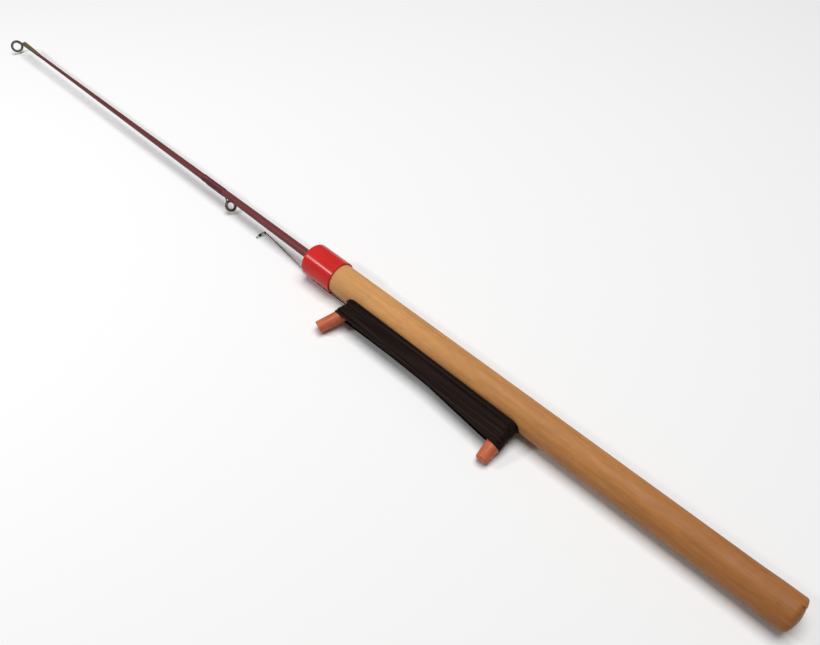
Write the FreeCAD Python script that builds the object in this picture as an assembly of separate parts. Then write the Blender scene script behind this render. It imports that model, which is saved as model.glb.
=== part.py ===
"""Hand-line ice fishing rod: a wooden handle with two line pegs and a short tapered blank.

The rod lies on a table. It is built with +X along the rod from the butt towards the tip, +Y
towards the side that the pegs point to and +Z up, with x = 0 at the butt and the table at z = 0.
At the end every piece is moved so that the origin is under the middle of the rod. Millimetres.
"""
import FreeCAD, Part
import math
import os
from FreeCAD import Placement, Rotation, Vector

os.makedirs("parts", exist_ok=True)

# ---- driving dimensions -------------------------------------------------------------------

# Handle: a one inch dowel with a domed butt, which swells a little towards the dome.
HANDLE_R = 12.7
HANDLE_FRONT_X = 431.5
SWELL_R = 13.08
SWELL_END_X = 20.0
SWELL_FADE_X = 36.0
BUTT_X = 0.8
BUTT_DOME = 3.2
BUTT_EDGE_R = 4.5
NOSE_CHAMFER = 0.8

# The saw left a lip on the butt, on the side that is turned away from the pegs. It is flatter
# and sharper than the rest of the dome, and a shallow nick parts it from the dome.
LIP_X = 0.6
LIP_DOME = 2.6
LIP_EDGE_R = 2.2
LIP_OFFSET = 0.56 * HANDLE_R
LIP_TURN = 150.0
NICK_WIDTH = 1.5
NICK_DEPTH = 0.7

# Push-on plastic end cap.
CAP_R = 14.2
CAP_RIM_X = 400.0
CAP_LENGTH = 33.5
CAP_FACE = 1.7
CAP_FRONT_EDGE_R = 3.6
CAP_RIM_EDGE_R = 0.3
CAP_HOLE_R = 3.88

# Solid glass fibre blank, glued into the handle.
BLANK_START_X = 378.0
BLANK_BORE_END_X = 376.0
BLANK_TAPER_X = 436.0
BLANK_SLIM_X = 815.0
BLANK_TIP_X = 892.0
BLANK_BUTT_R = 3.8
BLANK_SLIM_R = 1.72
BLANK_TIP_R = 1.6
BLANK_BUTT_CHAMFER = 0.3

# Pegs: they leave the handle in one plane, which dips to the table by PEG_DIP degrees.
PEG_DIP = 12.0
PEG_SINK = 2.5
PEG_SOCKET_GAP = 0.8
FRONT_PEG = {"x": 366.0, "lean": 19.3, "r": 5.2, "end_r": 5.2, "taper_from": 40.0, "edge": 0.6}
REAR_PEG = {"x": 215.0, "lean": -3.3, "r": 5.85, "end_r": 4.9, "taper_from": 33.0, "edge": 1.9}
PEG_REACH = 46.0

# Line, and the flat band that it is wound into round the two pegs. Reaches are measured from
# the handle's axis along the peg plane, thicknesses outwards from the pegs. The band's outer
# edge runs level from the front peg to a waist, then rises to the rear peg.
LINE_D = 0.7
BAND_INNER_REACH = 12.4
BAND_SKIN_REACH = 36.0
BAND_FRONT_REACH = 26.2
BAND_WAIST_X = 300.0
BAND_WAIST_REACH = 27.0
BAND_REAR_REACH = 32.4
BAND_FRONT_INNER_T = 2.3
BAND_REAR_INNER_T = 1.7
BAND_OUTER_T = 0.5
BAND_HANDLE_GAP = 0.15
# Past each peg the outer edge goes on for a way, closing in or rising by this much per mm.
BAND_END_ROOM = 40.0
BAND_FRONT_END_SLOPE = 0.22
BAND_REAR_END_SLOPE = 0.06

# Guides. A guide's ring stands out from the blank in a direction that dips below the level.
# Its feet and legs lie off what they touch by FOOT_GAP.
THREAD_T = 0.2
FOOT_GAP = 0.02
INSERT_SEAT = 0.1
INSERT_ROUNDING_OF_THICKNESS = 0.3
INSERT_ROUNDING_OF_WIDTH = 0.4

TIP_DIP = 60.0
TIP_RING_X = 904.65
TIP_RING_OUT = 7.2
TIP_RING_R = 5.6
TIP_RING_WIRE_R = 0.65
TIP_RING_LEAN = 9.0
TIP_RING_TWIST = -19.0
TIP_INSERT_BORE_R = 3.8
TIP_INSERT_T = 1.6
TIP_WRAP_START_X = 862.0
TIP_LEG_R = 0.55
# Each foot of the tip guide: its direction from the blank, and where its leg joins the ring.
# A foot is ground down evenly to a point.
TIP_FEET = [{"turn": -150.0, "joins": 48.0}, {"turn": -25.0, "joins": -28.0}]
TIP_FOOT_POINT_X = 864.0
TIP_FOOT_POINT_R = 0.12
TIP_FOOT_END_X = 893.0
TIP_FOOT_END_R = 0.5

MID_DIP = 70.0
MID_RING_X = 539.4
MID_RING_OUT = 7.8
MID_RING_R = 4.85
MID_RING_WIRE_R = 0.55
MID_RING_LEAN = 40.0
MID_RING_TWIST = -20.0
MID_LEGS_JOIN = 38.0
MID_INSERT_BORE_R = 2.9
MID_INSERT_T = 2.0
MID_FOOT_START_X = 548.0
MID_FOOT_END_X = 575.0
MID_WRAP_START_X = 550.0
MID_WRAP_END_X = 580.0

# Swivel on the line's free end, lying level.
SWIVEL_EYE = Vector(497.5, 1.95, 1.3)
SWIVEL_YAW = 93.0
EYE_R = 0.78
EYE_WIRE_R = 0.24
BARREL_START = 1.9
BARREL_LENGTH = 3.0
BARREL_R = 1.0
BARREL_END_R = 0.68
BARREL_WALL = 0.27
EYE_HEAD_R = 0.6
EYE_HEAD_T = 0.4
EYE_SHANK_SEAT = 0.1
RUNNING_GAP = 0.07
FREE_EYE_AT = BARREL_START * 2 + BARREL_LENGTH
FREE_EYE_ROLL = 35.0

# Route of the free line, from inside the band to the swivel, chosen by hand.
LEAD_ROUTE = [
    (350.0, 10.6, 4.90), (375.0, 10.7, 4.85), (400.0, 11.5, 4.85), (420.0, 10.8, 3.95),
    (432.0, 9.3, 2.85), (440.0, 7.2, 2.75), (455.0, 5.4, 2.70), (467.5, 3.75, 2.40),
    (480.0, 2.15, 2.05), (488.0, 1.23, 1.75), (493.0, 0.71, 1.50), (497.2, 0.35, 1.30),
]

KNOT_R = 0.85
ANCHOR_KNOT_R = 1.0
ANCHOR_KNOT_REACH = 15.0
ANCHOR_KNOT_SEAT = 0.7

# ---- derived values -----------------------------------------------------------------------

AXIS_Z = CAP_R
CAP_FRONT_X = CAP_RIM_X + CAP_LENGTH
X_AXIS = Vector(1, 0, 0)
PEG_PLANE = Placement(Vector(0, 0, 0), Rotation(X_AXIS, -PEG_DIP))
TIP_PLANE = Placement(Vector(0, 0, 0), Rotation(X_AXIS, -TIP_DIP))
MID_PLANE = Placement(Vector(0, 0, 0), Rotation(X_AXIS, -MID_DIP))
SWIVEL_PLACE = Placement(SWIVEL_EYE - Vector(0, 0, AXIS_Z), Rotation(Vector(0, 0, 1), SWIVEL_YAW))


# ---- helpers ------------------------------------------------------------------------------

def turned(start, *steps):
    """Solid turned about the X axis from an outline of (x, radius) points, open at the axis.

    A step is one point for a straight edge, or a (middle, end) pair of points for an arc."""
    def point(pair):
        return Vector(pair[0], 0, pair[1])
    here = point(start)
    edges = []
    for step in steps:
        if isinstance(step[0], tuple):
            end = point(step[1])
            edges.append(Part.Arc(here, point(step[0]), end).toShape())
        else:
            end = point(step)
            edges.append(Part.makeLine(here, end))
        here = end
    edges.append(Part.makeLine(here, point(start)))
    face = Part.Face(Part.Wire(edges))
    return face.revolve(Vector(0, 0, 0), X_AXIS, 360)


def arc_pair(centre, radius, start_deg, end_deg):
    """Middle and end points of an arc in the (x, radius) plane, for turned()."""
    def at(angle):
        a = math.radians(angle)
        return (centre[0] + radius * math.cos(a), centre[1] + radius * math.sin(a))
    return (at((start_deg + end_deg) / 2), at(end_deg))


def placed(shape, placement):
    moved = shape.copy()
    moved.Placement = placement.multiply(moved.Placement)
    return moved


def wire_run(points, radius):
    """Round wire through the points, with ball joints at its bends and ends."""
    run = Part.makeSphere(radius, points[0])
    for a, b in zip(points, points[1:]):
        run = run.fuse(Part.makeCylinder(radius, (b - a).Length, a, b - a))
        run = run.fuse(Part.makeSphere(radius, b))
    return run.removeSplitter()


def polar(direction_in_plane_a, direction_in_plane_b, angle_deg):
    a = math.radians(angle_deg)
    return direction_in_plane_a * math.cos(a) + direction_in_plane_b * math.sin(a)


def blank_radius(x):
    """Radius of the blank at a distance from the butt."""
    if x <= BLANK_TAPER_X:
        return BLANK_BUTT_R
    if x <= BLANK_SLIM_X:
        share = (x - BLANK_TAPER_X) / (BLANK_SLIM_X - BLANK_TAPER_X)
        return BLANK_BUTT_R + share * (BLANK_SLIM_R - BLANK_BUTT_R)
    share = (x - BLANK_SLIM_X) / (BLANK_TIP_X - BLANK_SLIM_X)
    return BLANK_SLIM_R + share * (BLANK_TIP_R - BLANK_SLIM_R)


# ---- handle, cap and blank ----------------------------------------------------------------

def make_blank():
    edge = BLANK_BUTT_CHAMFER
    return turned(
        (BLANK_START_X, 0), (BLANK_START_X, BLANK_BUTT_R - edge),
        (BLANK_START_X + edge, BLANK_BUTT_R), (BLANK_TAPER_X, BLANK_BUTT_R),
        (BLANK_SLIM_X, BLANK_SLIM_R), (BLANK_TIP_X, BLANK_TIP_R), (BLANK_TIP_X, 0))


def make_cap():
    wall_r = HANDLE_R
    front = CAP_FRONT_X
    edge, rim = CAP_FRONT_EDGE_R, CAP_RIM_EDGE_R
    return turned(
        (CAP_RIM_X, wall_r), (CAP_RIM_X, CAP_R - rim),
        arc_pair((CAP_RIM_X + rim, CAP_R - rim), rim, 180, 90),
        (front - edge, CAP_R), arc_pair((front - edge, CAP_R - edge), edge, 90, 0),
        (front, CAP_HOLE_R), (front - CAP_FACE, CAP_HOLE_R), (front - CAP_FACE, wall_r))


def peg_axis(peg):
    """Base point on the handle's axis and outward direction of a peg, in the peg plane."""
    lean = math.radians(peg["lean"])
    return Vector(peg["x"], 0, 0), Vector(math.sin(lean), math.cos(lean), 0)


def along_peg(shape, peg):
    """Puts a shape that was turned about X onto a peg's axis, in the real peg plane."""
    base, out = peg_axis(peg)
    on_axis = placed(shape, Placement(base, Rotation(X_AXIS, out)))
    return placed(on_axis, PEG_PLANE)


def make_peg(peg):
    start, stop = -PEG_SINK, PEG_REACH
    edge, r, end_r = peg["edge"], peg["r"], peg["end_r"]
    tapered = turned(
        (start, 0), (start, r), (peg["taper_from"], r), (stop - edge, end_r),
        arc_pair((stop - edge, end_r - edge), edge, 90, 0), (stop, 0))
    return along_peg(tapered, peg)


def peg_socket(peg):
    depth = PEG_SINK + PEG_SOCKET_GAP
    hole = Part.makeCylinder(peg["r"], depth + 2 * HANDLE_R, Vector(-depth, 0, 0), X_AXIS)
    return along_peg(hole, peg)


def dome_radius(dome):
    """Radius of the sphere whose cap is as wide as the butt and as high as the dome."""
    return (SWELL_R ** 2 + dome ** 2) / (2 * dome)


def dome_x(butt_x, dome, radius):
    """Place along the handle of a dome's surface, at a distance from the axis."""
    sphere_r = dome_radius(dome)
    return butt_x + sphere_r - math.sqrt(sphere_r ** 2 - radius ** 2)


def domed_dowel(butt_x, dome, edge_r):
    """Dowel with a domed, slightly swollen butt and a chamfered front end."""
    half = SWELL_R / 2
    dome_end_x = butt_x + dome
    dowel = turned(
        (butt_x, 0), ((dome_x(butt_x, dome, half), half), (dome_end_x, SWELL_R)),
        (SWELL_END_X, SWELL_R), (SWELL_FADE_X, HANDLE_R),
        (HANDLE_FRONT_X - NOSE_CHAMFER, HANDLE_R), (HANDLE_FRONT_X, HANDLE_R - NOSE_CHAMFER),
        (HANDLE_FRONT_X, 0))
    butt_edge = [e for e in dowel.Edges if abs(e.BoundBox.XMin - dome_end_x) < 0.01
                 and abs(e.BoundBox.XMax - dome_end_x) < 0.01]
    return dowel.makeFillet(edge_r, butt_edge)


def beyond_nick(length):
    """Room on the lip's side of the nick, from the butt to a distance along the handle."""
    span = 4 * HANDLE_R
    room = Part.makeBox(length + 1, span, span, Vector(-1, LIP_OFFSET, -span / 2))
    return placed(room, Placement(Vector(0, 0, 0), Rotation(X_AXIS, LIP_TURN)))


def butt_nick():
    """Three-sided groove that crosses the butt between the lip and the rest of the dome."""
    span = 4 * HANDLE_R
    bottom_x = dome_x(BUTT_X, BUTT_DOME, LIP_OFFSET) + NICK_DEPTH
    corners = [Vector(-1, LIP_OFFSET - NICK_WIDTH, 0), Vector(bottom_x, LIP_OFFSET, 0),
               Vector(-1, LIP_OFFSET + NICK_WIDTH, 0)]
    face = Part.Face(Part.makePolygon(corners + corners[:1]))
    groove = face.extrude(Vector(0, 0, span))
    groove.translate(Vector(0, 0, -span / 2))
    return placed(groove, Placement(Vector(0, 0, 0), Rotation(X_AXIS, LIP_TURN)))


def make_handle():
    lip_length = 4 * HANDLE_R
    dowel = domed_dowel(BUTT_X, BUTT_DOME, BUTT_EDGE_R).cut(beyond_nick(lip_length))
    lip = domed_dowel(LIP_X, LIP_DOME, LIP_EDGE_R).common(beyond_nick(lip_length))
    dowel = dowel.fuse(lip).removeSplitter().cut(butt_nick())
    bore_length = HANDLE_FRONT_X - BLANK_BORE_END_X + 1
    bore = Part.makeCylinder(BLANK_BUTT_R, bore_length, Vector(BLANK_BORE_END_X, 0, 0), X_AXIS)
    dowel = dowel.cut(bore)
    for peg in (FRONT_PEG, REAR_PEG):
        dowel = dowel.cut(peg_socket(peg))
    return dowel


# ---- wound line ---------------------------------------------------------------------------

def belt_wire(front, rear, front_r, rear_r):
    """Closed loop of a belt round two circles, both centres lying in the peg plane."""
    along = (front - rear).normalize()
    up = Vector(0, 0, 1)
    slope = math.asin((rear_r - front_r) / (front - rear).Length)
    top = along * math.sin(slope) + up * math.cos(slope)
    low = along * math.sin(slope) - up * math.cos(slope)
    front_arc = Part.Arc(front + top * front_r, front + along * front_r, front + low * front_r)
    rear_arc = Part.Arc(rear + low * rear_r, rear - along * rear_r, rear + top * rear_r)
    return Part.Wire([
        front_arc.toShape(), Part.makeLine(front + low * front_r, rear + low * rear_r),
        rear_arc.toShape(), Part.makeLine(rear + top * rear_r, front + top * front_r)])


def peg_point(peg, reach):
    """Point of a peg's axis at a distance from the handle's axis, in the peg plane."""
    return Vector(peg["x"] + reach * math.tan(math.radians(peg["lean"])), reach, 0)


def belt_loft(front_inner_t, rear_inner_t, outer_t):
    """Belt-shaped solid round both pegs, from the handle to beyond the band's outer edge."""
    def loop(reach, front_t, rear_t):
        front, rear = peg_point(FRONT_PEG, reach), peg_point(REAR_PEG, reach)
        return belt_wire(front, rear, FRONT_PEG["r"] + front_t, REAR_PEG["r"] + rear_t)
    near = loop(BAND_INNER_REACH, front_inner_t, rear_inner_t)
    far = loop(BAND_SKIN_REACH, outer_t, outer_t)
    return Part.makeLoft([near, far], True, True)


def beyond_band():
    """Room outside the band's outer edge."""
    far, margin = 2 * BAND_SKIN_REACH, BAND_END_ROOM
    outline = [
        Vector(FRONT_PEG["x"] + margin, far, 0),
        Vector(FRONT_PEG["x"] + margin, BAND_FRONT_REACH - BAND_FRONT_END_SLOPE * margin, 0),
        peg_point(FRONT_PEG, BAND_FRONT_REACH), Vector(BAND_WAIST_X, BAND_WAIST_REACH, 0),
        peg_point(REAR_PEG, BAND_REAR_REACH),
        Vector(REAR_PEG["x"] - margin, BAND_REAR_REACH + BAND_REAR_END_SLOPE * margin, 0),
        Vector(REAR_PEG["x"] - margin, far, 0)]
    face = Part.Face(Part.makePolygon(outline + outline[:1]))
    room = face.extrude(Vector(0, 0, far))
    room.translate(Vector(0, 0, -far / 2))
    return room


def make_band(pegs):
    skin = belt_loft(BAND_FRONT_INNER_T, BAND_REAR_INNER_T, BAND_OUTER_T)
    inside = -LINE_D / 2
    band = skin.cut(belt_loft(inside, inside, inside)).cut(beyond_band())
    band = placed(band, PEG_PLANE)
    room_r = HANDLE_R + BAND_HANDLE_GAP
    band = band.cut(Part.makeCylinder(room_r, HANDLE_FRONT_X, Vector(0, 0, 0), X_AXIS))
    for peg in pegs:
        band = band.cut(peg)
    return band


def make_anchor_knot(front_peg):
    """Knot of the line's inner end, against the front peg inside the band."""
    out = peg_axis(FRONT_PEG)[1]
    back = Vector(-out.y, out.x, 0)
    centre = peg_point(FRONT_PEG, ANCHOR_KNOT_REACH) + back * (FRONT_PEG["r"] + ANCHOR_KNOT_SEAT)
    knot = placed(Part.makeSphere(ANCHOR_KNOT_R, centre), PEG_PLANE)
    return knot.cut(front_peg)


def route_tube(route, radius):
    """Round cord along straight runs that tangent arcs join; prints the arcs' radii."""
    points = [Vector(*p) for p in route]
    edges, here, radii = [], points[0], []
    for before, corner, after in zip(points, points[1:], points[2:]):
        back, ahead = (before - corner), (after - corner)
        reach = 0.45 * min(back.Length, ahead.Length)
        back.normalize()
        ahead.normalize()
        half_turn = (math.pi - back.getAngle(ahead)) / 2
        radius_here = reach / math.tan(half_turn)
        start, end = corner + back * reach, corner + ahead * reach
        centre_way = (back + ahead).normalize()
        to_centre = radius_here / math.cos(half_turn)
        middle = corner + centre_way * (to_centre - radius_here)
        edges += [Part.makeLine(here, start), Part.Arc(start, middle, end).toShape()]
        radii.append(round(radius_here, 1))
        here = end
    edges.append(Part.makeLine(here, points[-1]))
    path = Part.Wire(edges)
    first_way = points[1] - points[0]
    section = Part.Wire(Part.makeCircle(radius, points[0], first_way))
    tube = path.makePipeShell([section], True, False)
    expected = math.pi * radius ** 2 * path.Length
    print("line radii", radii, "length", round(path.Length, 1),
          "volume / expected", round(tube.Volume / expected, 4))
    return tube


def make_lead():
    on_axis = [(x, y, z - AXIS_Z) for x, y, z in LEAD_ROUTE]
    return route_tube(on_axis, LINE_D / 2)


def make_end_knot():
    end, before = (Vector(*p) - Vector(0, 0, AXIS_Z) for p in (LEAD_ROUTE[-1], LEAD_ROUTE[-2]))
    return Part.makeSphere(KNOT_R, end + (end - before).normalize() * KNOT_R / 2)


# ---- swivel -------------------------------------------------------------------------------

def make_eye(way):
    """Wire eye at the origin whose shank points along way * X and ends in a head."""
    ring = Part.makeTorus(EYE_R, EYE_WIRE_R)
    head_near = BARREL_START + BARREL_WALL + RUNNING_GAP
    shank_length = head_near - EYE_R + EYE_SHANK_SEAT
    shank = Part.makeCylinder(EYE_WIRE_R, shank_length, Vector(EYE_R, 0, 0), X_AXIS)
    head = Part.makeCylinder(EYE_HEAD_R, EYE_HEAD_T, Vector(head_near, 0, 0), X_AXIS)
    eye = ring.fuse(shank).fuse(head).removeSplitter()
    if way < 0:
        eye.rotate(Vector(0, 0, 0), Vector(0, 0, 1), 180)
    return eye


def make_line_eye():
    return placed(make_eye(1), SWIVEL_PLACE)


def make_free_eye():
    eye = make_eye(-1)
    eye.rotate(Vector(0, 0, 0), X_AXIS, FREE_EYE_ROLL)
    eye.translate(Vector(FREE_EYE_AT, 0, 0))
    return placed(eye, SWIVEL_PLACE)


def make_barrel():
    start, stop = BARREL_START, BARREL_START + BARREL_LENGTH
    middle = (start + stop) / 2
    hole_r = EYE_WIRE_R + RUNNING_GAP
    room_r = EYE_HEAD_R + RUNNING_GAP
    shell = turned(
        (start, hole_r), (start, BARREL_END_R), ((middle, BARREL_R), (stop, BARREL_END_R)),
        (stop, hole_r), (stop - BARREL_WALL, hole_r), (stop - BARREL_WALL, room_r),
        (start + BARREL_WALL, room_r), (start + BARREL_WALL, hole_r))
    return placed(shell, SWIVEL_PLACE)


# ---- guides -------------------------------------------------------------------------------

def ring_directions(lean_deg, twist_deg):
    """Normal of a guide ring, and its in-plane directions to the blank and to the side."""
    lean, twist = math.radians(lean_deg), math.radians(twist_deg)
    normal = Vector(math.cos(lean) * math.cos(twist), math.sin(lean),
                    math.cos(lean) * math.sin(twist))
    inward = Vector(0, -1, 0)
    inward = (inward - normal * normal.dot(inward)).normalize()
    return normal, inward, normal.cross(inward)


def make_insert(centre, normal, seat_r, bore_r, thickness):
    """Hard ring seated inside a guide's wire ring, its bore rounded for the line."""
    outer_r = seat_r + INSERT_SEAT
    start = centre - normal * (thickness / 2)
    disc = Part.makeCylinder(outer_r, thickness, start, normal)
    ring = disc.cut(Part.makeCylinder(bore_r, thickness, start, normal))
    round_r = min(INSERT_ROUNDING_OF_THICKNESS * thickness,
                  INSERT_ROUNDING_OF_WIDTH * (outer_r - bore_r))
    circles = [e for e in ring.Edges if e.Closed]
    return ring.makeFillet(round_r, circles)


def tip_foot_axis(turn, x, radius):
    """Point on a tip foot's axis, where the foot has that radius and lies on the blank."""
    out_r = blank_radius(TIP_WRAP_START_X) + FOOT_GAP + radius
    return Vector(x, 0, 0) + polar(Vector(0, 1, 0), Vector(0, 0, 1), turn) * out_r


def pointed_foot(turn, extra):
    """Foot of the tip guide, thicker all round by extra."""
    point = tip_foot_axis(turn, TIP_FOOT_POINT_X, TIP_FOOT_POINT_R)
    end = tip_foot_axis(turn, TIP_FOOT_END_X, TIP_FOOT_END_R)
    return Part.makeCone(TIP_FOOT_POINT_R + extra, TIP_FOOT_END_R + extra,
                         (end - point).Length, point, end - point)


def make_tip_guide():
    centre = Vector(TIP_RING_X, TIP_RING_OUT, 0)
    normal, inward, side_way = ring_directions(TIP_RING_LEAN, TIP_RING_TWIST)
    frame = Part.makeTorus(TIP_RING_R, TIP_RING_WIRE_R, centre, normal)
    for foot in TIP_FEET:
        joint = centre + polar(inward, side_way, foot["joins"]) * TIP_RING_R
        foot_end = tip_foot_axis(foot["turn"], TIP_FOOT_END_X, TIP_FOOT_END_R)
        frame = frame.fuse(pointed_foot(foot["turn"], 0))
        frame = frame.fuse(wire_run([foot_end, joint], TIP_LEG_R))
    seat_r = TIP_RING_R - TIP_RING_WIRE_R
    insert = make_insert(centre, normal, seat_r, TIP_INSERT_BORE_R, TIP_INSERT_T)
    frame = frame.cut(insert)
    return frame, insert


def make_tip_wrap(blank, frame):
    start, stop = TIP_WRAP_START_X, BLANK_TIP_X
    sleeve = Part.makeCone(blank_radius(start) + THREAD_T, blank_radius(stop) + THREAD_T,
                           stop - start, Vector(start, 0, 0), X_AXIS)
    wrapped = Part.makeBox(stop - start, 2 * HANDLE_R, 2 * HANDLE_R,
                           Vector(start, -HANDLE_R, -HANDLE_R))
    for foot in TIP_FEET:
        sleeve = sleeve.fuse(pointed_foot(foot["turn"], THREAD_T).common(wrapped))
    return sleeve.removeSplitter().cut(frame).cut(placed(blank, TIP_PLANE.inverse()))


def mid_foot():
    """Start and end points of the single foot that holds the middle guide."""
    foot_out = blank_radius(MID_WRAP_START_X) + MID_RING_WIRE_R + 2 * FOOT_GAP
    return Vector(MID_FOOT_START_X, foot_out, 0), Vector(MID_FOOT_END_X, foot_out, 0)


def make_mid_guide():
    centre = Vector(MID_RING_X, MID_RING_OUT, 0)
    normal, inward, side_way = ring_directions(MID_RING_LEAN, MID_RING_TWIST)
    frame = Part.makeTorus(MID_RING_R, MID_RING_WIRE_R, centre, normal)
    foot_start, foot_end = mid_foot()
    frame = frame.fuse(wire_run([foot_start, foot_end], MID_RING_WIRE_R))
    for side in (-1, 1):
        meets_ring = centre + polar(inward, side_way, side * MID_LEGS_JOIN) * MID_RING_R
        frame = frame.fuse(wire_run([foot_start, meets_ring], MID_RING_WIRE_R))
    seat_r = MID_RING_R - MID_RING_WIRE_R
    insert = make_insert(centre, normal, seat_r, MID_INSERT_BORE_R, MID_INSERT_T)
    frame = frame.cut(insert)
    return frame, insert


def make_mid_wrap(blank, frame):
    start, stop = MID_WRAP_START_X, MID_WRAP_END_X
    sleeve = Part.makeCone(blank_radius(start) + THREAD_T, blank_radius(stop) + THREAD_T,
                           stop - start, Vector(start, 0, 0), X_AXIS)
    foot_out = mid_foot()[0].y
    ridge = Part.makeCone(MID_RING_WIRE_R + THREAD_T, MID_RING_WIRE_R, stop - start,
                          Vector(start, foot_out, 0), X_AXIS)
    sleeve = sleeve.fuse(ridge)
    return sleeve.removeSplitter().cut(frame).cut(placed(blank, MID_PLANE.inverse()))


# ---- assembly -----------------------------------------------------------------------------

def build():
    blank = make_blank()
    front_peg, rear_peg = make_peg(FRONT_PEG), make_peg(REAR_PEG)
    tip_frame, tip_insert = make_tip_guide()
    mid_frame, mid_insert = make_mid_guide()
    return {
        "handle": make_handle(),
        "end_cap": make_cap(),
        "blank": blank,
        "front_peg": front_peg,
        "rear_peg": rear_peg,
        "tip_guide": placed(tip_frame, TIP_PLANE),
        "tip_guide_ring": placed(tip_insert, TIP_PLANE),
        "tip_thread_wrap": placed(make_tip_wrap(blank, tip_frame), TIP_PLANE),
        "middle_guide": placed(mid_frame, MID_PLANE),
        "middle_guide_ring": placed(mid_insert, MID_PLANE),
        "middle_thread_wrap": placed(make_mid_wrap(blank, mid_frame), MID_PLANE),
        "wound_line": make_band((front_peg, rear_peg)),
        "anchor_knot": make_anchor_knot(front_peg),
        "line_lead": make_lead(),
        "line_end_knot": make_end_knot(),
        "swivel_line_eye": make_line_eye(),
        "swivel_barrel": make_barrel(),
        "swivel_free_eye": make_free_eye(),
    }


ON_THE_LINE = ("wound_line", "anchor_knot", "line_lead", "line_end_knot", "swivel_line_eye",
               "swivel_barrel", "swivel_free_eye")


def main():
    shapes = build()
    rod = Part.makeCompound([s for name, s in shapes.items() if name not in ON_THE_LINE])
    box = rod.optimalBoundingBox(True, False)
    shift = Vector(-box.Center.x, -box.Center.y, -box.ZMin)
    print("shift to the origin", [round(v, 4) for v in shift])
    for name, shape in shapes.items():
        shape.translate(shift)
        shape.exportStep("parts/%s.step" % name)
        print("%-20s solids %d valid %s volume %.2f" % (
            name, len(shape.Solids), shape.isValid(), shape.Volume))


main()
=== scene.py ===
"""Looks of the hand-line ice fishing rod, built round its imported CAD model. Metres, row frame.

Lengths that describe the rod are written in millimetres in its own design frame, as in the CAD
source: x from the butt along the rod, y towards the pegs, z up from the table. place() turns
them into metres in the row frame.
"""
import math
import random

import bpy
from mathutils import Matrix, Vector


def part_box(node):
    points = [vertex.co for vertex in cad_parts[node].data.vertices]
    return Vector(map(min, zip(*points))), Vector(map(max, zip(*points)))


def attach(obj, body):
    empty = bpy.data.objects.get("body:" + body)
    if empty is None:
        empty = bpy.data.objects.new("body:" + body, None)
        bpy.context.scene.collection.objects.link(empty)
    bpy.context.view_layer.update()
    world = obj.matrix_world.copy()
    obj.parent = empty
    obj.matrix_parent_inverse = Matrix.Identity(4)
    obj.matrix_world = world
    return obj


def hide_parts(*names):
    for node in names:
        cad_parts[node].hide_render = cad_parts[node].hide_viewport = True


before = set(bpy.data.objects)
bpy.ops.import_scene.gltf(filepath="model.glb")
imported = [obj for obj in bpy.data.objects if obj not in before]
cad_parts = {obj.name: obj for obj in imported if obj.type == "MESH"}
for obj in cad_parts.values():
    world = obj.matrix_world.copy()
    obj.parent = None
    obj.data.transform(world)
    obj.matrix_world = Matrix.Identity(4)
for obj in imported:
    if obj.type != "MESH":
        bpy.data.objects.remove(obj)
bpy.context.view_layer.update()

MM = 0.001

# ---- the rod's dimensions, as in the CAD source --------------------------------------------

HANDLE_R = 12.7
CAP_RIM_X = 400.0
PEG_DIP = math.radians(12.0)
FRONT_PEG = {"x": 366.0, "lean": math.radians(19.3), "r": 5.2}
REAR_PEG = {"x": 215.0, "lean": math.radians(-3.3), "r": 5.85}
LINE_D = 0.7
SWIVEL_EYE = Vector((497.5, 1.95, 1.3))
SWIVEL_EYE_R = 0.78
LEAD_ROUTE = [
    (350.0, 10.6, 4.90), (375.0, 10.7, 4.85), (400.0, 11.5, 4.85), (420.0, 10.8, 3.95),
    (432.0, 9.3, 2.85), (440.0, 7.2, 2.75), (455.0, 5.4, 2.70), (467.5, 3.75, 2.40),
    (480.0, 2.15, 2.05), (488.0, 1.23, 1.75), (493.0, 0.71, 1.50), (497.2, 0.35, 1.30),
]
BLANK_TAPER_X, BLANK_SLIM_X, BLANK_TIP_X = 436.0, 815.0, 892.0
BLANK_BUTT_R, BLANK_SLIM_R, BLANK_TIP_R = 3.8, 1.72, 1.6

cap_low, cap_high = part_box("end_cap")
DESIGN_ORIGIN = Vector((cap_low.x - CAP_RIM_X * MM, (cap_low.y + cap_high.y) / 2, 0))
AXIS_Z = (cap_low.z + cap_high.z) / 2 / MM


def place(point):
    """Design point in millimetres to row frame metres."""
    return DESIGN_ORIGIN + Vector(point) * MM


def from_peg_plane(x, reach, height):
    """Point of the plane of the pegs: reach from the handle's axis, height above the plane."""
    y = reach * math.cos(PEG_DIP) + height * math.sin(PEG_DIP)
    z = height * math.cos(PEG_DIP) - reach * math.sin(PEG_DIP)
    return Vector((x, y, AXIS_Z + z))


def blank_radius(x):
    if x <= BLANK_TAPER_X:
        return BLANK_BUTT_R
    if x <= BLANK_SLIM_X:
        share = (x - BLANK_TAPER_X) / (BLANK_SLIM_X - BLANK_TAPER_X)
        return BLANK_BUTT_R + share * (BLANK_SLIM_R - BLANK_BUTT_R)
    share = (x - BLANK_SLIM_X) / (BLANK_TIP_X - BLANK_SLIM_X)
    return BLANK_SLIM_R + share * (BLANK_TIP_R - BLANK_SLIM_R)


# ---- camera, floor and light ---------------------------------------------------------------

FLOOR_HALF = 6.0
FLOOR_DROP = 0.0002
FLOOR_GREY = 0.83
WORLD_STRENGTH = 0.15


def add_object(name, data):
    made = bpy.data.objects.new(name, data)
    bpy.context.scene.collection.objects.link(made)
    return made


def look_at(thing, target):
    thing.rotation_euler = (target - thing.location).to_track_quat("-Z", "Y").to_euler()


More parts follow.
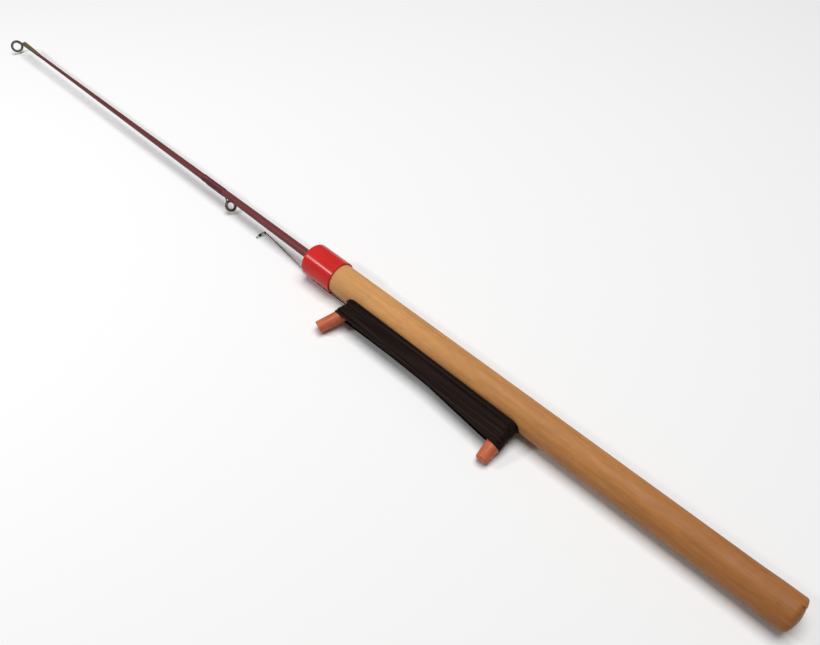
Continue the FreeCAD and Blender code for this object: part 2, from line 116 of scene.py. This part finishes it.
def make_camera():
    data = bpy.data.cameras.new("camera")
    data.sensor_width = 36.0
    data.lens = 36.2
    data.clip_start = 0.01
    data.clip_end = 50.0
    camera = add_object("camera", data)
    camera.location = place((48.65, 287.7, 506.35))
    look_at(camera, place((327.6, -5.42, 14.2)))
    bpy.context.scene.camera = camera


def area_light(name, at, target, size, watts):
    data = bpy.data.lights.new(name, "AREA")
    data.shape = "RECTANGLE"
    data.size, data.size_y = size
    data.energy = watts
    light = add_object(name, data)
    light.location = place(at)
    look_at(light, place(target))


def make_stage():
    mesh = bpy.data.meshes.new("floor")
    half = FLOOR_HALF
    corners = [(-half, -half, 0), (half, -half, 0), (half, half, 0), (-half, half, 0)]
    mesh.from_pydata(corners, [], [(0, 1, 2, 3)])
    floor = add_object("floor", mesh)
    floor.location.z = -FLOOR_DROP
    look = Look("floor_paper")
    look.shader.inputs["Base Color"].default_value = (FLOOR_GREY, FLOOR_GREY, FLOOR_GREY, 1)
    look.shader.inputs["Roughness"].default_value = 0.9
    mesh.materials.append(look.material)
    world = bpy.data.worlds.new("studio")
    world.use_nodes = True
    background = world.node_tree.nodes["Background"]
    background.inputs["Color"].default_value = (1.0, 1.0, 1.0, 1)
    background.inputs["Strength"].default_value = WORLD_STRENGTH
    bpy.context.scene.world = world
    area_light("ceiling", (330, -250, 2200), (330, 0, 14), (1.5, 1.5), 47.0)
    area_light("window", (1022, 586, 719), (416, 8, 25), (0.2, 0.05), 3.2)
    bpy.context.scene.view_settings.view_transform = "Standard"


# ---- node materials ------------------------------------------------------------------------

class Look:
    """A material and short ways to add nodes to it."""

    def __init__(self, name):
        self.material = bpy.data.materials.new(name)
        self.material.use_nodes = True
        self.tree = self.material.node_tree
        self.shader = self.tree.nodes["Principled BSDF"]
        self.coordinates = self.tree.nodes.new("ShaderNodeTexCoord")

    def node(self, kind, **settings):
        made = self.tree.nodes.new(kind)
        for key, value in settings.items():
            setattr(made, key, value)
        return made

    def link(self, source, target):
        self.tree.links.new(source, target)

    def mapped(self, scale, turn=(0, 0, 0)):
        mapping = self.node("ShaderNodeMapping")
        mapping.inputs["Scale"].default_value = scale
        mapping.inputs["Rotation"].default_value = turn
        self.link(self.coordinates.outputs["Object"], mapping.inputs["Vector"])
        return mapping.outputs["Vector"]

    def noise(self, scale, detail=4.0, roughness=0.5, vector_scale=(1, 1, 1), turn=(0, 0, 0),
              distortion=0.0):
        made = self.node("ShaderNodeTexNoise")
        made.inputs["Scale"].default_value = scale
        made.inputs["Detail"].default_value = detail
        made.inputs["Roughness"].default_value = roughness
        made.inputs["Distortion"].default_value = distortion
        self.link(self.mapped(vector_scale, turn), made.inputs["Vector"])
        return made.outputs["Fac"]

    def ramp(self, value, *stops):
        """Colour ramp; each stop is (position, colour) with a grey number or an RGB colour."""
        made = self.node("ShaderNodeValToRGB")
        elements = made.color_ramp.elements
        while len(elements) < len(stops):
            elements.new(0.5)
        for element, (position, colour) in zip(elements, stops):
            element.position = position
            rgb = colour if isinstance(colour, tuple) else (colour,) * 3
            element.color = (*rgb, 1)
        self.link(value, made.inputs["Fac"])
        return made.outputs["Color"]

    def mix(self, share, first, second, blend="MIX"):
        made = self.node("ShaderNodeMix", data_type="RGBA", blend_type=blend)
        for socket, value in (("Factor", share), ("A", first), ("B", second)):
            target = next(i for i in made.inputs if i.name == socket and i.enabled)
            if isinstance(value, bpy.types.NodeSocket):
                self.link(value, target)
            elif isinstance(value, tuple):
                target.default_value = (*value, 1)
            else:
                target.default_value = value
        return next(o for o in made.outputs if o.enabled)

    def along(self, axis, low, high):
        """0 to 1 along an axis of the row frame, between two places in metres."""
        split = self.node("ShaderNodeSeparateXYZ")
        self.link(self.coordinates.outputs["Object"], split.inputs["Vector"])
        spread = self.node("ShaderNodeMapRange")
        spread.inputs["From Min"].default_value = low
        spread.inputs["From Max"].default_value = high
        self.link(split.outputs[axis], spread.inputs["Value"])
        return spread.outputs["Result"]

    def bump(self, height, distance, strength=1.0, below=None):
        made = self.node("ShaderNodeBump")
        made.inputs["Strength"].default_value = strength
        made.inputs["Distance"].default_value = distance
        self.link(height, made.inputs["Height"])
        if below is not None:
            self.link(below, made.inputs["Normal"])
        return made.outputs["Normal"]

    def finish(self, colour=None, roughness=None, normal=None, **constants):
        for value, name in ((colour, "Base Color"), (roughness, "Roughness"), (normal, "Normal")):
            if value is not None:
                self.link(value, self.shader.inputs[name])
        for name, value in constants.items():
            self.shader.inputs[name.replace("_", " ")].default_value = value
        return self.material


def wood_handle():
    look = Look("varnished_wood")
    streaks = look.noise(1.0, 5, 0.62, (26, 420, 420), distortion=0.6)
    fine = look.noise(1.0, 3, 0.6, (60, 2600, 2600))
    broad = look.noise(1.0, 3, 0.55, (14, 90, 90))
    from_butt = look.along("X", place((0, 0, 0)).x, place((CAP_RIM_X, 0, 0)).x)
    base = look.ramp(from_butt, (0.0, (0.345, 0.130, 0.035)), (0.45, (0.475, 0.205, 0.062)),
                     (0.75, (0.57, 0.268, 0.088)), (1.0, (0.63, 0.315, 0.113)))
    base = look.mix(1.0, base, look.ramp(streaks, (0.25, 0.80), (0.5, 0.95), (0.78, 1.08)),
                    blend="MULTIPLY")
    base = look.mix(1.0, base, look.ramp(broad, (0.3, 0.88), (0.7, 1.05)), blend="MULTIPLY")
    mottle = look.noise(1.0, 3, 0.6, (120, 300, 300))
    base = look.mix(1.0, base, look.ramp(mottle, (0.3, 0.91), (0.7, 1.03)), blend="MULTIPLY")
    base = look.mix(look.ramp(fine, (0.55, 0.0), (0.75, 0.28)), base, (0.30, 0.13, 0.04))
    specks = look.node("ShaderNodeTexVoronoi")
    specks.inputs["Scale"].default_value = 105.0
    look.link(look.mapped((0.4, 1.0, 1.0)), specks.inputs["Vector"])
    dots = look.ramp(specks.outputs["Distance"], (0.04, 0.5), (0.09, 0.0))
    base = look.mix(dots, base, (0.16, 0.07, 0.025))
    rough = look.ramp(look.noise(90.0, 4, 0.6), (0.3, 0.46), (0.7, 0.62))
    normal = look.bump(streaks, 0.00025, 0.5)
    normal = look.bump(look.noise(260.0, 3, 0.6, (0.25, 1, 1)), 0.00012, 0.4, below=normal)
    return look.finish(base, rough, normal, Specular_IOR_Level=0.22)


def wood_peg():
    look = Look("sealed_peg_wood")
    streaks = look.noise(1.0, 5, 0.6, (420, 40, 420), distortion=0.5)
    blotches = look.noise(180.0, 3, 0.6)
    base = look.ramp(streaks, (0.25, (0.40, 0.085, 0.032)), (0.55, (0.49, 0.118, 0.048)),
                     (0.8, (0.56, 0.155, 0.067)))
    base = look.mix(look.ramp(blotches, (0.45, 0.0), (0.75, 0.4)), base, (0.38, 0.08, 0.03))
    rough = look.ramp(blotches, (0.3, 0.36), (0.7, 0.5))
    normal = look.bump(streaks, 0.00012, 0.5)
    return look.finish(base, rough, normal, Specular_IOR_Level=0.3)


def cap_plastic():
    look = Look("glossy_red_plastic")
    smears = look.noise(70.0, 4, 0.6, (0.35, 1, 1))
    orange_peel = look.noise(420.0, 2, 0.5)
    base = look.ramp(smears, (0.3, (0.50, 0.018, 0.018)), (0.7, (0.57, 0.026, 0.023)))
    rough = look.ramp(smears, (0.3, 0.17), (0.75, 0.25))
    normal = look.bump(orange_peel, 0.0001, 0.15)
    return look.finish(base, rough, normal, Specular_IOR_Level=0.17)


def blank_resin():
    look = Look("pigmented_glass_fibre")
    fibres = look.noise(1.0, 4, 0.6, (22, 1500, 1500))
    patches = look.noise(55.0, 3, 0.5, (0.3, 1, 1))
    base = look.ramp(fibres, (0.3, (0.145, 0.026, 0.026)), (0.7, (0.195, 0.04, 0.039)))
    base = look.mix(look.ramp(patches, (0.4, 0.0), (0.7, 0.4)), base, (0.12, 0.022, 0.022))
    from_cap = look.along("X", place((BLANK_TAPER_X, 0, 0)).x, place((BLANK_TIP_X, 0, 0)).x)
    fading = look.ramp(from_cap, (0.0, (0.93, 0.94, 0.98)), (1.0, (0.64, 0.96, 1.0)))
    base = look.mix(1.0, base, fading, blend="MULTIPLY")
    rough = look.ramp(patches, (0.3, 0.36), (0.7, 0.5))
    normal = look.bump(fibres, 0.0001, 0.35)
    return look.finish(base, rough, normal, Specular_IOR_Level=0.22)


def guide_metal(name, dark, light):
    look = Look(name)
    wear = look.noise(700.0, 5, 0.65)
    base = look.ramp(wear, (0.35, dark), (0.65, light))
    rough = look.ramp(wear, (0.3, 0.55), (0.7, 0.4))
    normal = look.bump(wear, 0.00003, 0.3)
    return look.finish(base, rough, normal, Metallic=0.45)


def ring_ceramic(name, dark, light):
    look = Look(name)
    grain = look.noise(900.0, 3, 0.5)
    base = look.ramp(grain, (0.3, dark), (0.7, light))
    rough = look.ramp(grain, (0.3, 0.16), (0.7, 0.26))
    normal = look.bump(grain, 0.00002, 0.3)
    return look.finish(base, rough, normal, Specular_IOR_Level=0.6)


def thread(name, dark, light):
    look = Look(name)
    lay = look.noise(1.0, 3, 0.6, (900, 2400, 2400))
    patches = look.noise(160.0, 3, 0.5)
    base = look.ramp(lay, (0.3, dark), (0.7, light))
    base = look.mix(look.ramp(patches, (0.4, 0.0), (0.7, 0.35)), base, dark)
    rough = look.ramp(patches, (0.3, 0.32), (0.7, 0.5))
    normal = look.bump(lay, 0.00005, 0.4)
    return look.finish(base, rough, normal, Specular_IOR_Level=0.25)


def braid():
    look = Look("dark_line_braid")
    picks = look.node("ShaderNodeTexVoronoi")
    picks.inputs["Scale"].default_value = 2600.0
    look.link(look.mapped((0.5, 1.0, 1.0)), picks.inputs["Vector"])
    strands = look.noise(1.0, 3, 0.6, (9, 620, 620))
    base = look.ramp(strands, (0.34, (0.006, 0.0032, 0.0026)), (0.52, (0.018, 0.0098, 0.0078)),
                     (0.7, (0.034, 0.0195, 0.016)))
    rough = look.ramp(strands, (0.3, 0.46), (0.7, 0.6))
    normal = look.bump(picks.outputs["Distance"], 0.00006, 0.5)
    return look.finish(base, rough, normal, Specular_IOR_Level=0.06)


def dress_nodes():
    """Gives the carried-over CAD pieces their materials."""
    wood, peg = wood_handle(), wood_peg()
    wire = guide_metal("dark_guide_wire", (0.045, 0.038, 0.034), (0.11, 0.095, 0.08))
    black = guide_metal("blackened_swivel_metal", (0.012, 0.011, 0.011), (0.04, 0.036, 0.035))
    grey = ring_ceramic("grey_ring_ceramic", (0.10, 0.095, 0.09), (0.20, 0.19, 0.18))
    olive = ring_ceramic("olive_ring_ceramic", (0.07, 0.055, 0.038), (0.15, 0.12, 0.085))
    looks = {
        "handle": wood, "front_peg": peg, "rear_peg": peg, "end_cap": cap_plastic(),
        "blank": blank_resin(), "tip_guide": wire, "middle_guide": wire,
        "tip_guide_ring": grey, "middle_guide_ring": olive, "swivel_line_eye": black,
        "swivel_barrel": black, "swivel_free_eye": black,
    }
    for node, material in looks.items():
        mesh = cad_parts[node].data
        mesh.materials.clear()
        mesh.materials.append(material)
        mesh.polygons.foreach_set("use_smooth", [True] * len(mesh.polygons))


# ---- the line ------------------------------------------------------------------------------

TURNS = 47
HANDLE_GAP = 0.05
LAYER_RISE = 0.64
INNER_REACH = 10.4
LOOP_TILT = 0.09
ARC_POINTS = 6
# Rows of turns on each peg: (first turn, its slot, step from turn to turn). A later row lies
# on the earlier ones.
REAR_ROWS = [(0, 2, 1), (29, 12, -1), (40, 4, -1), (44, 2, -1), (46, 0, -1)]
FRONT_ROWS = [(0, 2, 1), (21, 18, -1), (38, 5, -1), (43, 2, -1), (45, 0, -1)]
REAR_PITCH = 0.703
FRONT_PITCH = 0.70
# How far a run's later control point is drawn in, and how far runs stray from straight.
WAIST = 1.5
WANDER = 0.12
WANDER_IN_HEIGHT = 0.4
REACH_STRAY = 0.05
RADIUS_STRAY = 0.08
RUN_END_LENGTH = 3.0
ANCHOR_REACH = 15.0
ANCHOR_KNOT_R = 0.7
BAND_WIDTH = REAR_PITCH * REAR_ROWS[1][0]
REAR_SKEW = 0.10
FRONT_SKEW = 0.19
# Control points from the knot on the front peg to the rear peg, in the peg plane.
FIRST_RUN = [(352, 16.5, 1.0), (320, 16.0, 2.4), (280, 15.0, 3.6), (245, 13.6, 4.6)]
HANDLE_CLEAR = HANDLE_R + LINE_D / 2 + HANDLE_GAP


def slot_and_layer(turn, rows):
    layer = max(i for i, row in enumerate(rows) if turn >= row[0])
    first, slot, step = rows[layer]
    return slot + step * (turn - first), layer


def rest_on_handle(reach, height):
    """Reach of a point of a turn, pushed out where the handle is in the way."""
    tilted = reach + LOOP_TILT * height
    nearest = math.sqrt(max(HANDLE_CLEAR ** 2 - height ** 2, 0))
    return max(tilted, nearest)


def turn_on(peg, turn, rows, pitch, rng):
    """Reach, and radius round the peg's axis, of one turn."""
    slot, layer = slot_and_layer(turn, rows)
    reach = INNER_REACH + slot * pitch + rng.uniform(-REACH_STRAY, REACH_STRAY)
    radius = peg["r"] + LINE_D / 2 + layer * LAYER_RISE + rng.uniform(0.0, RADIUS_STRAY)
    return reach, radius


def arc_round(peg, reach, radius, start_deg, skew):
    """Control points of the half turn round a peg, from start_deg on through 180 degrees."""
    step = 180.0 / ARC_POINTS
    outer = radius / math.cos(math.radians(step / 2))
    stretch = 1 / math.cos(peg["lean"])
    points = []
    for i in range(ARC_POINTS):
        angle = math.radians(start_deg + step * (i + 0.5))
        forward, height = outer * math.cos(angle), outer * math.sin(angle)
        here = rest_on_handle(reach - skew * forward, height)
        x = peg["x"] + here * math.tan(peg["lean"]) + forward * stretch
        points.append((x, here, height))
    return points


def run_between(last, first, rng, waist=0.0):
    """Control points of a run: one close to each end, and two between them.

    A waist draws in the later of the two, the more the farther out the run lies.
    """
    start, end = Vector(last), Vector(first)
    near = RUN_END_LENGTH / (end - start).length
    points = []
    for share, free, drawn_in in ((near, 0, 0), (0.36, 1, 0), (0.66, 1, waist), (1 - near, 0, 0)):
        p = start.lerp(end, share)
        outward = (p.y - INNER_REACH) / BAND_WIDTH
        p.y += free * rng.uniform(-WANDER, WANDER) - drawn_in * outward
        p.z += free * rng.uniform(-WANDER, WANDER) * WANDER_IN_HEIGHT
        points.append((p.x, rest_on_handle(p.y - LOOP_TILT * p.z, p.z), p.z))
    return points


def wound_route():
    """Control points of the line from its knot at the front peg, through its turns."""
    rng = random.Random(47)
    reach, off_axis = ANCHOR_REACH, FRONT_PEG["r"] + ANCHOR_KNOT_R
    out, back = math.cos(FRONT_PEG["lean"]), math.sin(FRONT_PEG["lean"])
    knot_x = FRONT_PEG["x"] + reach * math.tan(FRONT_PEG["lean"]) - out * off_axis
    route = [(knot_x, reach + back * off_axis, 0.0), *FIRST_RUN]
    for turn in range(TURNS):
        reach, radius = turn_on(REAR_PEG, turn, REAR_ROWS, REAR_PITCH, rng)
        rear = arc_round(REAR_PEG, reach, radius, 90, REAR_SKEW)
        if turn:
            route += run_between(route[-1], rear[0], rng)
        route += rear
        if turn < TURNS - 1:
            reach, radius = turn_on(FRONT_PEG, turn, FRONT_ROWS, FRONT_PITCH, rng)
            front = arc_round(FRONT_PEG, reach, radius, -90, FRONT_SKEW)
            route += run_between(rear[-1], front[0], rng, WAIST)
            route += front
    return [from_peg_plane(*p) for p in route]


def nurbs(name, points, diameter, resolution):
    """Open NURBS curve of order 3 with a round section, through to its end points."""
    curve = bpy.data.curves.new(name, "CURVE")
    curve.dimensions = "3D"
    curve.bevel_depth = diameter / 2
    curve.bevel_resolution = 2
    curve.use_fill_caps = True
    spline = curve.splines.new("NURBS")
    spline.points.add(len(points) - 1)
    for target, point in zip(spline.points, points):
        target.co = (*point, 1)
    spline.order_u = 3
    spline.use_endpoint_u = True
    spline.resolution_u = resolution
    return add_object(name, curve)


def make_line():
    wound = wound_route()
    points = [place(p) for p in wound + [Vector(p) for p in LEAD_ROUTE]]
    line = nurbs("line", points, LINE_D * MM, 6)
    line.data.materials.append(braid())
    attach(line, "root")
    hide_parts("wound_line", "line_lead", "anchor_knot")
    return line, points


KNOT_WRAPS = 4
KNOT_STEPS = 12
KNOT_WRAP_R = 0.52
KNOT_PITCH = 0.42
# The line is drawn tight in its knot, so it is thinner there.
KNOT_LINE_D = 0.42


def make_knot():
    """Clinch knot: the line's loop through the swivel's eye and its wraps round the line."""
    end = Vector(LEAD_ROUTE[-1])
    back = (Vector(LEAD_ROUTE[-2]) - end).normalized()
    side = back.cross(Vector((0, 0, 1))).normalized()
    up = side.cross(back).normalized()
    points = [SWIVEL_EYE + Vector((0.0, -SWIVEL_EYE_R, 0.0)), end + side * 0.3]
    for i in range(KNOT_WRAPS * KNOT_STEPS + 1):
        angle = 2 * math.pi * i / KNOT_STEPS
        at = end + back * (KNOT_PITCH * i / KNOT_STEPS)
        points.append(at + (side * math.cos(angle) + up * math.sin(angle)) * KNOT_WRAP_R)
    points.append(points[-1] + back * 0.5 + side * 0.5 + up * 0.15)
    knot = nurbs("line_knot", [place(p) for p in points], KNOT_LINE_D * MM, 3)
    knot.data.materials.append(bpy.data.materials["dark_line_braid"])
    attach(knot, "root")
    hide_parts("line_end_knot")
    return knot


# ---- thread wraps --------------------------------------------------------------------------

THREAD_D = 0.3
THREAD_BASE = 0.12
THREAD_RIB = 0.09
# Length over which a wrap runs down to the blank at each end, and how far under its surface.
WRAP_END = 0.6
WRAP_END_SINK = 0.05
SECTION_POINTS = 44
RINGS_PER_THREAD = 6


def hull_point(circles, direction, extra):
    """Outermost point of a bundle of circles in a direction, moved out by extra."""
    y, z, r = max(circles, key=lambda c: c[0] * direction[0] + c[1] * direction[1] + c[2])
    return y + (r + extra) * direction[0], z + (r + extra) * direction[1]


def wrap_mesh(name, start, stop, circles_at, material, node):
    """Sleeve of close thread turns round the blank and the guide's feet, with ribbed turns."""
    rings = int((stop - start) / THREAD_D * RINGS_PER_THREAD)
    vertices, faces = [], []
    for i in range(rings + 1):
        x = start + (stop - start) * i / rings
        end_fade = min(1.0, (x - start) / WRAP_END, (stop - x) / WRAP_END)
        for k in range(SECTION_POINTS):
            angle = 2 * math.pi * k / SECTION_POINTS
            phase = 2 * math.pi * (x / THREAD_D) + angle
            rib = 0.5 + 0.5 * math.cos(phase)
            extra = end_fade * (THREAD_BASE + THREAD_RIB * math.sqrt(rib))
            extra -= (1 - end_fade) * WRAP_END_SINK
            y, z = hull_point(circles_at(x), (math.cos(angle), math.sin(angle)), extra)
            vertices.append(place((x, y, AXIS_Z + z)))
    for i in range(rings):
        for k in range(SECTION_POINTS):
            a, b = i * SECTION_POINTS + k, i * SECTION_POINTS + (k + 1) % SECTION_POINTS
            faces.append((a, a + SECTION_POINTS, b + SECTION_POINTS, b))
    mesh = bpy.data.meshes.new(name)
    mesh.from_pydata(vertices, [], faces)
    mesh.polygons.foreach_set("use_smooth", [True] * len(faces))
    mesh.materials.append(material)
    wrap = add_object(name, mesh)
    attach(wrap, "root")
    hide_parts(node)
    return wrap


def foot_circle(turn_deg, out_r, wire_r):
    """Section of a guide's foot beside the blank."""
    angle = math.radians(turn_deg)
    return out_r * math.cos(angle), out_r * math.sin(angle), wire_r


TIP_WRAP_START_X = 862.0
TIP_FOOT_POINT_X = 864.0
TIP_FOOT_POINT_R = 0.05
TIP_FOOT_GROWTH = 0.5
TIP_FOOT_GAP = 0.02
TIP_FOOT_TURNS = (150, -85)


def make_tip_wrap():
    """Wrap of the tip guide, over two feet that are ground down to a point."""
    start = TIP_WRAP_START_X

    def circles(x):
        share = max(0.0, (x - TIP_FOOT_POINT_X) / (BLANK_TIP_X - TIP_FOOT_POINT_X))
        foot_r = TIP_FOOT_POINT_R + share * TIP_FOOT_GROWTH
        out_r = blank_radius(start) + foot_r + TIP_FOOT_GAP
        feet = [foot_circle(turn, out_r, foot_r) for turn in TIP_FOOT_TURNS]
        return [(0, 0, blank_radius(x)), *feet]
    olive = thread("olive_thread", (0.072, 0.048, 0.021), (0.145, 0.102, 0.050))
    wrap_mesh("tip_wrap", start, BLANK_TIP_X, circles, olive, "tip_thread_wrap")


MIDDLE_WRAP = (550.0, 580.0)
MIDDLE_FOOT_END_X = 577.0
MIDDLE_FOOT_R = 0.55
MIDDLE_FOOT_GAP = 0.04
MIDDLE_FOOT_TURN = -70.0
# Past its foot the wrap closes in on the blank over this length, from a full foot to this share.
MIDDLE_RUN_OUT = 4.0
MIDDLE_RUN_OUT_SHARE = 0.6


def make_middle_wrap():
    """Wrap of the middle guide, over its single foot."""
    start, stop = MIDDLE_WRAP
    out_r = blank_radius(start) + MIDDLE_FOOT_R + MIDDLE_FOOT_GAP

    def circles(x):
        full = min(1.0, max(0.0, (MIDDLE_FOOT_END_X - x) / MIDDLE_RUN_OUT))
        reach = out_r * (MIDDLE_RUN_OUT_SHARE + (1 - MIDDLE_RUN_OUT_SHARE) * full)
        return [(0, 0, blank_radius(x)), foot_circle(MIDDLE_FOOT_TURN, reach, MIDDLE_FOOT_R)]
    maroon = thread("maroon_thread", (0.075, 0.010, 0.018), (0.15, 0.021, 0.034))
    wrap_mesh("middle_wrap", start, stop, circles, maroon,
              "middle_thread_wrap")


# ---- everything ----------------------------------------------------------------------------

make_camera()
make_stage()
line, line_points = make_line()
knot = make_knot()
dress_nodes()
make_tip_wrap()
make_middle_wrap()
